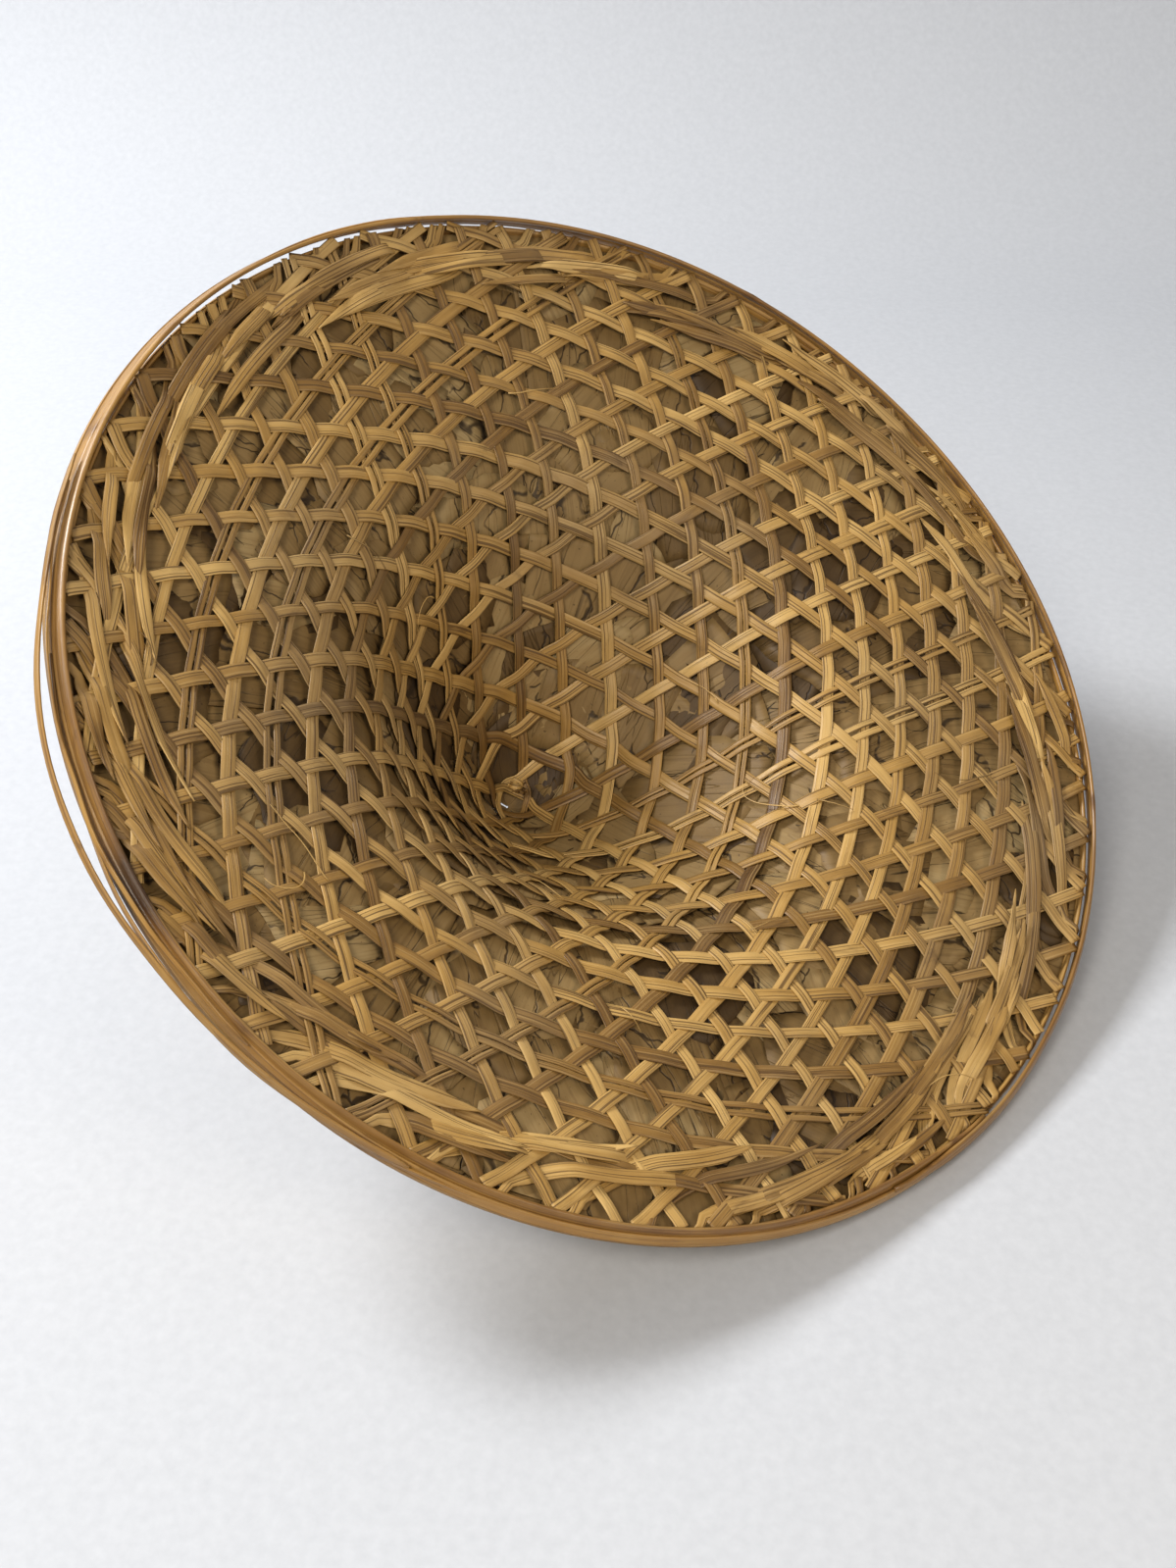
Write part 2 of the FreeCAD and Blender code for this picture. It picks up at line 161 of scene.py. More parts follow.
def wallFrame(xy):
    # points of the middle surface and its outward normals
    r = np.hypot(xy[:, 0], xy[:, 1])
    slope = wallSlope(r)
    safe = np.maximum(r, 1e-6)
    normal = np.stack([-slope * xy[:, 0] / safe, -slope * xy[:, 1] / safe, np.ones_like(r)], 1)
    normal /= np.linalg.norm(normal, axis=1)[:, None]
    return np.column_stack([xy, wallHeight(r)]), normal


lattice = {"crownPitch": 25.49, "brimPitch": 19.22, "change": (34.0, 125.0), "rings": 15, "sectors": 4,
           "turn": math.radians(47.2), "rounds": 300, "gain": 0.16, "ringStart": 0.98, "tableStep": 0.5,
           "beyondRim": 90.0, "shortestClip": 0.2, "copyTolerance": 1.0}


def pitchAt(r):
    inner, outer = lattice["change"]
    share = np.clip((r - inner) / (outer - inner), 0, 1)
    change = lattice["brimPitch"] - lattice["crownPitch"]
    return lattice["crownPitch"] + change * share * share * (3 - 2 * share)


def growLattice():
    sectors = lattice["sectors"]
    rings = [[0], list(range(1, sectors + 1))]
    parents = {v: 1 for v in rings[1]}
    triangles = [(0, 1 + j, 1 + (j + 1) % sectors) for j in range(sectors)]
    count = 1 + sectors
    for k in range(1, lattice["rings"]):
        ring = rings[k]
        fresh, shared, own = [], {}, {}
        for i, v in enumerate(ring):
            extra = 2 - parents[v]
            own[i] = list(range(count, count + extra))
            for child in own[i]:
                parents[child] = 1
            count += extra
            shared[i] = count
            parents[count] = 2
            count += 1
            fresh += own[i] + [shared[i]]
        for i, v in enumerate(ring):
            fan = [shared[(i - 1) % len(ring)]] + own[i] + [shared[i]]
            triangles += [(v, a, b) for a, b in zip(fan, fan[1:])]
            triangles.append((v, shared[i], ring[(i + 1) % len(ring)]))
        rings.append(fresh)
    return rings, triangles, count


def settleLattice(rings, triangles, count):
    # springs along the edges, held on the wall
    radii = np.arange(0.0, wall["rim"] + lattice["beyondRim"], lattice["tableStep"])
    heights = wallHeight(radii)
    spans = np.hypot(np.diff(radii), np.diff(heights)) / pitchAt(radii[1:])
    arc = np.concatenate([[0.0], np.cumsum(spans)])
    place = np.zeros((count, 2))
    for k, ring in enumerate(rings[1:], 1):
        r = np.interp(k * lattice["ringStart"], arc, radii)
        angles = lattice["turn"] + 2 * math.pi * np.arange(len(ring)) / len(ring)
        place[ring] = r * np.column_stack([np.cos(angles), np.sin(angles)])
    edges = sorted({tuple(sorted(e)) for t in triangles for e in zip(t, t[1:] + t[:1])})
    tails, heads = np.array(edges).T
    for _ in range(lattice["rounds"]):
        r = np.hypot(place[:, 0], place[:, 1])
        space = np.column_stack([place, wallHeight(r)])
        gap = space[heads] - space[tails]
        rest = pitchAt((r[heads] + r[tails]) / 2)
        pull = gap * (1 - rest / np.linalg.norm(gap, axis=1))[:, None]
        push = np.zeros_like(space)
        np.add.at(push, tails, pull)
        np.add.at(push, heads, -pull)
        push[0] = 0
        r[0] = 1.0
        slope = wallSlope(r)
        steep = np.hypot(1.0, slope)
        unit = place / r[:, None]
        out = ((push[:, :2] * unit).sum(1) + push[:, 2] * slope) / steep**2 * lattice["gain"]
        around = (push[:, 1] * unit[:, 0] - push[:, 0] * unit[:, 1]) * lattice["gain"]
        place = place + out[:, None] * unit
        place += around[:, None] * np.column_stack([-unit[:, 1], unit[:, 0]])
    return place


def traceStrips(triangles, place):
    side = {}
    for t in triangles:
        for i in range(3):
            side[(t[i], t[(i + 1) % 3])] = t
    seen = set()

    def follow(t, corner, forward):
        path = []
        while True:
            i = t.index(corner)
            edge = (corner, t[(i + 1) % 3]) if forward else (t[i - 1], corner)
            middle = (place[edge[0]] + place[edge[1]]) / 2
            path.append((middle[0], middle[1], -1.0 if forward else 1.0))
            across = side.get((edge[1], edge[0]))
            if across is None:
                return path
            t, corner = across, edge[0] if edge[1] == corner else edge[1]
            forward = not forward
            seen.add((t, corner))

    strips = []
    for t in triangles:
        for corner in t:
            if (t, corner) in seen:
                continue
            seen.add((t, corner))
            ahead = follow(t, corner, True)
            strips.append(np.array(follow(t, corner, False)[::-1] + ahead))
    return strips


def clipped(strip, limit):
    inside = np.nonzero(np.hypot(strip[:, 0], strip[:, 1]) < limit)[0]
    if len(inside) < 3:
        return None
    run = [tuple(p) for p in strip[inside[0]:inside[-1] + 1]]
    for end, beyond in ((inside[0], inside[0] - 1), (inside[-1], inside[-1] + 1)):
        if not 0 <= beyond < len(strip):
            continue
        a, b = strip[end], strip[beyond]
        ra, rb = math.hypot(a[0], a[1]), math.hypot(b[0], b[1])
        share = (limit - ra) / (rb - ra)
        if share < lattice["shortestClip"]:
            continue
        point = (*(a[:2] + (b[:2] - a[:2]) * share), a[2] * math.cos(math.pi * share))
        run.insert(0 if beyond < end else len(run), point)
    return np.array(run)


def turnedBy(points, angle):
    c, s = math.cos(angle), math.sin(angle)
    spun = points.copy()
    spun[:, 0] = c * points[:, 0] - s * points[:, 1]
    spun[:, 1] = s * points[:, 0] + c * points[:, 1]
    return spun


def groupedBySector(strips):
    # copies, one in each sector, share a node
    groups, left = [], list(strips)

    def same(a, b):
        if len(a) != len(b):
            return False
        return any(np.abs(f[:, :2] - b[:, :2]).max() < lattice["copyTolerance"] for f in (a, a[::-1]))

    while left:
        group = [left.pop(0)]
        for times in range(1, lattice["sectors"]):
            image = turnedBy(group[0], times * 2 * math.pi / lattice["sectors"])
            for i, other in enumerate(left):
                if same(image, other):
                    group.append(left.pop(i))
                    break
        groups.append(group)
    groups.sort(key=lambda g: np.hypot(g[0][:, 0], g[0][:, 1]).min())
    return groups


ribbonSection = ((-0.5, 0.0), (-0.465, 0.4), (-0.24, 0.5), (0.24, 0.5), (0.465, 0.4),
                 (0.5, 0.0), (0.465, -0.4), (0.24, -0.5), (-0.24, -0.5), (-0.465, -0.4))
layScale = 10  # millimetres to one unit of the lay coordinates
layShift = {"ribbon": 90, "leaf": 50}


class Bundle:
    # ribbons and sheets gathered into one piece
    def __init__(self):
        self.points, self.faces, self.lay, self.tone, self.count = [], [], [], [], 0

    def keep(self, points, faces, lay, tone):
        self.points.append(points)
        self.faces += [tuple(i + self.count for i in face) for face in faces]
        self.lay.append(lay)
        self.tone.append(np.broadcast_to(tone, len(points)))
        self.count += len(points)

    def ribbon(self, path, normals, widths, thickness, tone, rng, twist=None, cup=0.0):
        n = len(path)
        along = np.gradient(path, axis=0)
        along /= np.linalg.norm(along, axis=1)[:, None]
        sides = np.cross(normals, along)
        sides /= np.linalg.norm(sides, axis=1)[:, None]
        normals = np.cross(along, sides)
        if twist is not None:
            c, s = np.cos(twist)[:, None], np.sin(twist)[:, None]
            sides, normals = sides * c + normals * s, normals * c - sides * s
        section = np.array(ribbonSection)
        m = len(section)
        widths = np.broadcast_to(widths, n)[:, None, None]
        depth = np.broadcast_to(thickness, n)[:, None, None]
        bow = cup * (section[:, 0] ** 2)[None, :, None]
        rings = (path[:, None] + sides[:, None] * section[None, :, :1] * widths
                 + normals[:, None] * (section[None, :, 1:] * depth - bow))
        length = np.concatenate([[0], np.cumsum(np.linalg.norm(np.diff(path, axis=0), axis=1))])
        shift = rng.random(2) * layShift["ribbon"]
        u = np.repeat(length / layScale + shift[0], m)
        v = (section[None, :, 0] * widths[:, :, 0] / layScale + shift[1]).reshape(-1)
        faces = []
        for i in range(n - 1):
            a, b = i * m, (i + 1) * m
            faces += [(a + j, a + (j + 1) % m, b + (j + 1) % m, b + j) for j in range(m)]
        faces.append(tuple(range(m))[::-1])
        faces.append(tuple(range((n - 1) * m, n * m)))
        self.keep(rings.reshape(-1, 3), faces, np.column_stack([u, v]), tone)

    def build(self, name, material):
        mesh = bpy.data.meshes.new(name)
        points = np.concatenate(self.points) * mm
        mesh.from_pydata(points.tolist(), [], self.faces)
        lay = np.concatenate(self.lay)
        corners = np.zeros(len(mesh.loops), dtype=np.int32)
        mesh.loops.foreach_get("vertex_index", corners)
        mesh.uv_layers.new(name="lay").data.foreach_set("uv", lay[corners].reshape(-1).astype(np.float32))
        tone = mesh.attributes.new("tone", "FLOAT", "POINT")
        tone.data.foreach_set("value", np.concatenate(self.tone).astype(np.float32))
        mesh.polygons.foreach_set("use_smooth", [True] * len(mesh.polygons))
        mesh.materials.append(material)
        mesh.update()
        piece = bpy.data.objects.new(name, mesh)
        bpy.context.scene.collection.objects.link(piece)
        return piece


def smoothPath(points, perSpan):
    # Catmull-Rom through the crossings, with their levels eased between
    padded = np.vstack([2 * points[0] - points[1], points, 2 * points[-1] - points[-2]])
    t = np.arange(perSpan)[:, None] / perSpan
    rows = []
    for i in range(1, len(padded) - 2):
        p0, p1, p2, p3 = padded[i - 1:i + 3]
        curve = 0.5 * (2 * p1 + (p2 - p0) * t + (2 * p0 - 5 * p1 + 4 * p2 - p3) * t**2
                       + (3 * p1 - p0 - 3 * p2 + p3) * t**3)
        ease = (1 - np.cos(math.pi * t[:, 0])) / 2
        curve[:, 2] = p1[2] + (p2[2] - p1[2]) * ease
        rows.append(curve)
    rows.append(points[-1:])
    return np.vstack(rows)


def drift(rng, count, size, waves):
    # a slow wander along a strip
    at = np.linspace(0, 1, count)
    total = np.zeros(count)
    for wave in range(1, waves + 1):
        total += rng.normal() * np.sin(2 * math.pi * (wave * at + rng.random())) / wave
    return total * size


def bambooFinish(name, look):
    finish = Finish(name)
    lay = finish.add("ShaderNodeUVMap", {"uv_map": "lay"})
    spot = finish.add("ShaderNodeTexCoord", {}, {}, 3)
    tone = finish.attribute("tone")
    fibre = finish.cloud(finish.stretched(lay, 0.10, 15.0), 1.0, 2.0, 0.5)
    fine = finish.cloud(finish.stretched(lay, 0.6, 62.0), 1.0, 2.0, 0.55)
    streak = finish.cloud(finish.stretched(lay, 0.22, 4.5), 1.0, 3.0, 0.6)
    patch = finish.cloud(finish.stretched(lay, 0.7, 1.6), 1.0, 3.0, 0.5, 0.4)
    shade = tone * 0.66 + streak * 0.34 + patch * 0.26 + fine * 0.14 - 0.2
    base = finish.ramp(shade, look["stops"])
    weathered = finish.ramp(finish.cloud(spot, 13.0, 2.0), ((0.46, 0.0), (0.66, 1.0)))
    base = finish.mix(weathered * look["weather"], base, look["weatherColour"])
    lines = finish.ramp(fibre, ((0.385, 1.0), (0.45, 0.0)))
    colour = finish.mix(lines * look["fibre"], base, look["fibreColour"])
    pale = finish.ramp(fibre, ((0.58, 0.0), (0.64, 1.0)))
    colour = finish.mix(pale * 0.22, colour, look["paleColour"])
    stained = finish.ramp(finish.cloud(finish.stretched(lay, 0.35, 1.1), 1.0, 5.0, 0.68, 1.2),
                          ((0.6, 0.0), (0.76, 1.0)))
    colour = finish.mix(stained * look["stain"], colour, look["stainColour"])
    height = fibre * 0.8 + fine * 0.3 + streak * 0.4 - lines * 0.5
    roughness = look["rough"] + (fine - 0.5) * 0.3 + stained * 0.12 + lines * 0.12
    return finish.close({"Base Color": colour, "Roughness": roughness,
                         "Specular IOR Level": look["specular"],
                         "Normal": finish.bump(height, look["bump"], 0.00025)})


innerLook = {"stops": ((0.08, (0.095, 0.044, 0.010)), (0.34, (0.225, 0.116, 0.026)),
                       (0.58, (0.42, 0.237, 0.060)), (0.86, (0.65, 0.415, 0.140))),
             "fibre": 0.78, "fibreColour": (0.085, 0.040, 0.010), "paleColour": (0.66, 0.45, 0.19),
             "weather": 0.42, "weatherColour": (0.27, 0.185, 0.088), "stain": 0.55,
             "stainColour": (0.065, 0.030, 0.009), "rough": 0.42, "specular": 0.45, "bump": 0.9}
outerLook = {"stops": ((0.08, (0.11, 0.060, 0.021)), (0.34, (0.24, 0.145, 0.055)),
                       (0.58, (0.38, 0.24, 0.095)), (0.86, (0.53, 0.36, 0.165))),
             "fibre": 0.66, "fibreColour": (0.11, 0.062, 0.025), "paleColour": (0.56, 0.42, 0.23),
             "weather": 0.7, "weatherColour": (0.29, 0.225, 0.14), "stain": 0.6,
             "stainColour": (0.075, 0.042, 0.018), "rough": 0.54, "specular": 0.34, "bump": 0.8}
hoopLook = {"stops": ((0.08, (0.050, 0.022, 0.007)), (0.32, (0.18, 0.082, 0.018)),
                      (0.58, (0.37, 0.19, 0.042)), (0.86, (0.52, 0.31, 0.086))),
            "fibre": 0.45, "fibreColour": (0.11, 0.046, 0.012), "paleColour": (0.56, 0.37, 0.13),
            "weather": 0.2, "weatherColour": (0.24, 0.16, 0.08), "stain": 0.7,
            "stainColour": (0.060, 0.025, 0.009), "rough": 0.34, "specular": 0.5, "bump": 0.5}
innerBamboo = bambooFinish("innerSplitBamboo", innerLook)
outerBamboo = bambooFinish("outerSplitBamboo", outerLook)
hoopBamboo = bambooFinish("bambooHoop", hoopLook)
print("bamboo finishes made")


weave = {"seed": 41, "width": 4.9, "thickness": 0.55, "swing": 0.5, "innerLayer": -3.0,
         "outerLayer": 2.75, "innerReach": 203.0, "outerReach": 201.0, "perSpan": 7,
         "stagger": math.radians(11.0), "aside": 0.3, "sway": 0.45, "twist": 0.05, "gather": 0.35,
         "gatherRadius": 17.0, "widths": (0.86, 1.12), "depths": (0.85, 1.1), "tone": (0.15, 0.92),
         "cup": (-0.2, 0.2), "splitShare": 0.08, "splitGap": 0.27, "splitWidth": 0.47}
fold = {"share": 0.94, "hoopRadius": 201.6, "hoopHeight": 6.9, "loopWide": 1.9, "loopTall": 3.3,
        "loopTurn": (115, -90), "loopSteps": 9, "loopAdvance": 6.5, "start": 2.5, "step": 2.2,
        "edgeGap": 2.0, "depth": (2.5, 21.0), "crossing": 9.0, "crossingGain": 1.1,
        "run": (26.0, 52.0), "lean": (2.0, 11.0), "underLayer": -2.0, "topLayer": (-5.2, -3.95),
        "wave": 0.25, "waveLength": 6.0, "tuckedLayer": -2.1, "tuckedShare": 0.6,
        "tuckFrom": (0.66, 0.84), "width": (4.3, 6.4), "taper": (9.0, 24.0), "thickness": 0.5,
        "tone": (0.08, 0.98), "warpShare": 0.22, "warps": (0.12, 0.42)}
splinter = {"radii": (60, 185), "bend": 0.12, "wander": 0.07, "steps": (8, 22), "step": 1.6,
            "offset": 0.9, "arch": 3.0, "width": 0.45, "thickness": 0.25, "tone": 0.9}


def layStrip(bundle, run, layer, rng):
    path = smoothPath(run, weave["perSpan"])
    n = len(path)
    ground, normals = wallFrame(path[:, :2])
    centre = ground + normals * (layer + path[:, 2] * weave["swing"])[:, None]
    along = np.gradient(centre, axis=0)
    sides = np.cross(normals, along)
    sides /= np.linalg.norm(sides, axis=1)[:, None]
    r = np.hypot(path[:, 0], path[:, 1])
    gather = np.minimum(1.0, weave["gather"] + (1 - weave["gather"]) * r / weave["gatherRadius"])
    aside = (rng.normal() * weave["aside"] + drift(rng, n, weave["sway"], 4)) * gather
    centre = centre + sides * aside[:, None]
    width = weave["width"] * rng.uniform(*weave["widths"]) * (1 + drift(rng, n, 0.035, 4)) * gather
    tone = rng.uniform(*weave["tone"]) + drift(rng, n, 0.10, 5)
    twist = drift(rng, n, weave["twist"], 6)
    depth = weave["thickness"] * rng.uniform(*weave["depths"])
    shades = np.repeat(tone, len(ribbonSection))
    if rng.random() > weave["splitShare"]:
        bundle.ribbon(centre, normals, width, depth, shades, rng, twist, cup=rng.uniform(*weave["cup"]))
        return
    apart = weave["splitGap"] + np.abs(drift(rng, n, 0.06, 3))
    for side in (-1, 1):
        half = centre + sides * (side * apart * width)[:, None]
        bundle.ribbon(half, normals, width * weave["splitWidth"], depth, shades, rng, twist)


def layFold(bundle, x, y, rng):
    # a strip's end: over the core hoop, then back inwards along the rim to a pointed tip
    angle = math.atan2(y, x)
    loop = np.radians(np.linspace(*fold["loopTurn"], fold["loopSteps"]))
    r = fold["hoopRadius"] + fold["loopWide"] * np.cos(loop)
    z = fold["hoopHeight"] + fold["loopTall"] * np.sin(loop)
    turn = angle - np.linspace(0, fold["loopAdvance"], fold["loopSteps"]) / fold["hoopRadius"]
    loopNormals = np.stack([np.cos(loop) * np.cos(turn), np.cos(loop) * np.sin(turn), np.sin(loop)], 1)
    loopPath = np.stack([r * np.cos(turn), r * np.sin(turn), z], 1)
    depth = rng.uniform(*fold["depth"])
    cross = fold["crossing"] + fold["crossingGain"] * depth
    length = cross + rng.uniform(*fold["run"])
    s = np.linspace(fold["start"], length, int(length / fold["step"]))
    bent = 1 - (1 - np.clip(s / cross, 0, 1)) ** 2
    inwards = np.maximum(s - cross * 0.8, 0) * math.tan(math.radians(rng.uniform(*fold["lean"])))
    radius = fold["hoopRadius"] - fold["edgeGap"] - (depth - fold["edgeGap"]) * bent - inwards
    at = turn[-1] - s / radius
    ground, normals = wallFrame(radius[:, None] * np.stack([np.cos(at), np.sin(at)], 1))

    def eased(first, last):
        part = np.clip((s - first) / (last - first), 0, 1)
        return part * part * (3 - 2 * part)

    top = rng.uniform(*fold["topLayer"])
    lift = fold["underLayer"] + (top - fold["underLayer"]) * eased(cross * 0.45, cross * 1.05)
    lift = lift - fold["wave"] * np.sin(s / fold["waveLength"] + rng.random() * 6)
    goal = fold["tuckedLayer"] if rng.random() < fold["tuckedShare"] else top - rng.uniform(-0.3, 1.6)
    lift = lift + (goal - lift) * eased(length * rng.uniform(*fold["tuckFrom"]), length)
    path = np.vstack([loopPath, ground + normals * lift[:, None]])
    facing = np.vstack([loopNormals, -normals])
    left = np.concatenate([np.full(len(loop), length), length - s])
    width = rng.uniform(*fold["width"]) * np.minimum(1.0, 0.07 + left / rng.uniform(*fold["taper"]))
    width = width * np.minimum(1.0, 0.5 + (length - left) / 16)
    tone = rng.uniform(*fold["tone"]) + drift(rng, len(path), 0.09, 3)
    warp = fold["warps"][1] if rng.random() < fold["warpShare"] else fold["warps"][0]
    bundle.ribbon(path, facing, width, fold["thickness"], np.repeat(tone, len(ribbonSection)), rng,
                  drift(rng, len(path), warp, 3), cup=rng.uniform(0.0, 0.5))


def layFibre(bundle, rng):
    # a thin curly splinter standing off the weave
    angle, r = rng.uniform(0, 2 * math.pi), rng.uniform(*splinter["radii"])
    heading, bend = rng.uniform(0, 6.3), rng.normal() * splinter["bend"]
    x, y = r * math.cos(angle), r * math.sin(angle)
    points = []
    for _ in range(int(rng.uniform(*splinter["steps"]))):
        points.append((x, y))
        heading += bend + rng.normal() * splinter["wander"]
        x += splinter["step"] * math.cos(heading)
        y += splinter["step"] * math.sin(heading)
    ground, normals = wallFrame(np.array(points))
    share = np.linspace(0, 1, len(points))
    arch = splinter["arch"] * np.sin(math.pi * share) * rng.uniform(0.1, 1.0)
    path = ground + normals * (weave["innerLayer"] - splinter["offset"] - arch)[:, None]
    width = splinter["width"] * (1.2 - share)
    bundle.ribbon(path, normals, width, splinter["thickness"], splinter["tone"], rng)


rings, triangles, count = growLattice()
place = settleLattice(rings, triangles, count)
strips = traceStrips(triangles, place)
rng = np.random.default_rng(weave["seed"])
letters = "abcdefghijklmnopqrstuvwxyz"
pieces = []
solidReach = {"inner": 186.0, "outer": 194.5}  # groups follow the solids' reach, so letters match nodes


def keepPiece(piece, node):
    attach(piece, "root")
    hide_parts(node)
    pieces.append(piece)


def weaveLayer(which, layer, reach, angle, material):
    spun = [turnedBy(s, angle) for s in strips]
    marked = [clipped(s, solidReach[which]) for s in spun]
    longer = {id(m): s for m, s in zip(marked, spun) if m is not None}
    groups = groupedBySector([m for m in marked if m is not None])
    for index, group in enumerate(groups):
        bundle = Bundle()
        for run in group:
            full = clipped(longer[id(run)], reach)
            layStrip(bundle, full, layer, rng)
            if which == "inner":
                for end in (full[0], full[-1]):
                    if rng.random() < fold["share"]:
                        layFold(bundle, end[0], end[1], rng)
        if which == "inner":
            layFibre(bundle, rng)
        piece = bundle.build(which + "Strips." + letters[index], material)
        keepPiece(piece, which + "_strips_" + letters[index])
    print(which, "weave:", len(groups), "groups of strips")


weaveLayer("inner", weave["innerLayer"], weave["innerReach"], 0.0, innerBamboo)
weaveLayer("outer", weave["outerLayer"], weave["outerReach"], weave["stagger"], outerBamboo)


# leaf colours: the dried leaf's own tan, with the whole ramp darkened further as painted shade in the gaps
# between the strips where the leaf shows
leafColourAndGapShade = {"stops": ((0.10, (0.036, 0.019, 0.007)), (0.30, (0.098, 0.055, 0.017)),
                      (0.52, (0.205, 0.122, 0.040)), (0.72, (0.315, 0.203, 0.078)),
                      (0.92, (0.45, 0.325, 0.150))),
            "crack": (0.022, 0.012, 0.005), "vein": (0.12, 0.066, 0.022), "speck": (0.036, 0.018, 0.007)}


def leafFinish(name, look):
    finish = Finish(name)
    lay = finish.add("ShaderNodeUVMap", {"uv_map": "lay"})
    tone = finish.attribute("tone")
    mottle = finish.cloud(finish.stretched(lay, 0.35, 0.6), 1.0, 4.0, 0.55, 0.6)
    grain = finish.cloud(finish.stretched(lay, 0.3, 7.0), 1.0, 3.0, 0.55)
    colour = finish.ramp(tone * 0.72 + mottle * 0.4 + grain * 0.14 - 0.17, look["stops"])
    veins = finish.ramp(grain, ((0.36, 1.0), (0.46, 0.0)))
    colour = finish.mix(veins * 0.22, colour, look["vein"])
    rugged = finish.ramp(mottle, ((0.44, 0.0), (0.62, 0.9)))
    slit = finish.cloud(finish.stretched(lay, 0.10, 1.25), 1.0, 2.0, 0.45)
    bent = finish.add("ShaderNodeVectorMath", {"operation": "MULTIPLY_ADD"}, {
        0: finish.add("ShaderNodeTexNoise", {}, {"Vector": lay, "Scale": 0.5, "Detail": 3.0}, 1),
        1: (0.8, 0.8, 0.0), 2: finish.stretched(lay, 0.2, 0.38)})
    torn = finish.add("ShaderNodeTexVoronoi", {"feature": "DISTANCE_TO_EDGE"},
                      {"Vector": bent, "Scale": 1.0, "Randomness": 1.0}, "Distance")
    crack = finish.ramp((slit - 0.5).size(), ((0.0, 1.0), (0.008, 0.0)))
    crease = finish.ramp(torn, ((0.006, 1.0), (0.015, 0.0))) * finish.ramp(slit, ((0.44, 0.0), (0.5, 1.0)))
    colour = finish.mix(crack * rugged, colour, look["crack"])
    colour = finish.mix(crease * 0.85, colour, look["crack"])
    speck = finish.ramp(finish.cloud(lay, 7.0, 2.0), ((0.68, 0.0), (0.72, 1.0)))
    colour = finish.mix(speck * 0.6, colour, look["speck"])
    height = grain * 0.35 + mottle * 1.2 - crack * 0.8 - crease * 0.7
    return finish.close({"Base Color": colour, "Roughness": 0.58 + (mottle - 0.5) * 0.3,
                         "Specular IOR Level": 0.32, "Normal": finish.bump(height, 0.6, 0.0008)})


leafWithGapShade = leafFinish("driedLeafWithGapShade", leafColourAndGapShade)
lining = {"crownLeaves": 6, "brimLeaves": 8, "overlap": math.radians(6.0), "tilt": 1.3,
          "crownSpan": (9.0, 84.0), "brimSpan": (80.0, 202.4), "crownLayer": -0.25, "brimLayer": 0.95,
          "brimStart": math.radians(17.0), "thickness": 0.35, "buckle": 0.45, "buckleLength": 14,
          "rowStep": 2.0, "columnStep": 2.2, "tone": (0.5, 0.8)}
# the dark scraps copy real dark patches of the leaf, and their share is set higher as painted shade in the
# gaps between the strips
scrap = {"size": (13.0, 30.0), "corners": (4, 6), "nudge": 0.3, "reach": (0.7, 1.1), "bluntest": 0.25,
         "longest": 1.6, "ragged": 0.03, "centre": 0.02, "limits": (8.0, 199.0), "slant": 0.016,
         "rings": 4, "spokes": 28, "thickness": 0.22, "drop": (0.35, 1.1), "crownScraps": 7,
         "brimScraps": 14, "darkShare": 0.2, "darkTone": (0.12, 0.34), "tone": (0.42, 0.98),
         "insideSpan": (8, 12)}


def sheetFaces(rows, columns, closed=False):
    # top and underside of a grid and the faces round its edge
    grid = rows * columns
    faces = []

    def at(i, j, side):
        return side * grid + i * columns + j % columns

    lastRow, lastColumn = rows - 1, columns - 1
    across = columns if closed else lastColumn
    for i in range(lastRow):
        for j in range(across):
            faces.append((at(i, j, 0), at(i + 1, j, 0), at(i + 1, j + 1, 0), at(i, j + 1, 0)))
            faces.append((at(i, j, 1), at(i, j + 1, 1), at(i + 1, j + 1, 1), at(i + 1, j, 1)))
    for j in range(across):
        faces.append((at(lastRow, j, 0), at(lastRow, j, 1), at(lastRow, j + 1, 1), at(lastRow, j + 1, 0)))
        if not closed:
            faces.append((at(0, j, 0), at(0, j + 1, 0), at(0, j + 1, 1), at(0, j, 1)))
    if not closed:
        for i in range(lastRow):
            faces.append((at(i, 0, 0), at(i, 0, 1), at(i + 1, 0, 1), at(i + 1, 0, 0)))
            faces.append((at(i, lastColumn, 0), at(i + 1, lastColumn, 0),
                          at(i + 1, lastColumn, 1), at(i, lastColumn, 1)))
    return faces


def leafSheet(bundle, start, sweep, span, layer, rng):
    middle = (span[0] + span[1]) / 2
    rows = max(8, int((span[1] - span[0]) / lining["rowStep"])) + 1
    columns = max(10, int(sweep * middle / lining["columnStep"])) + 1
    r = np.linspace(span[0], span[1], rows)[:, None]
    share = np.linspace(0, 1, columns)[None, :]
    angle = start + sweep * share
    ground, normals = wallFrame(np.stack([(r * np.cos(angle)).ravel(), (r * np.sin(angle)).ravel()], 1))
    tilt = ((share - 0.5) * lining["tilt"] + 0 * r).ravel()
    rough = np.array([noise.fractal(Vector(p / lining["buckleLength"] + start), 1.0, 2.0, 4)
                      for p in ground])
    top = ground + normals * (layer + tilt + rough * lining["buckle"])[:, None]
    low = top - normals * lining["thickness"]
    u = (r + 0 * share).ravel() / layScale + rng.random() * layShift["leaf"]
    v = (middle * sweep * share + 0 * r).ravel() / layScale + rng.random() * layShift["leaf"]
    lay = np.column_stack([u, v])
    faces = sheetFaces(rows, columns)
    bundle.keep(np.vstack([top, low]), faces, np.vstack([lay, lay]), rng.uniform(*lining["tone"]))


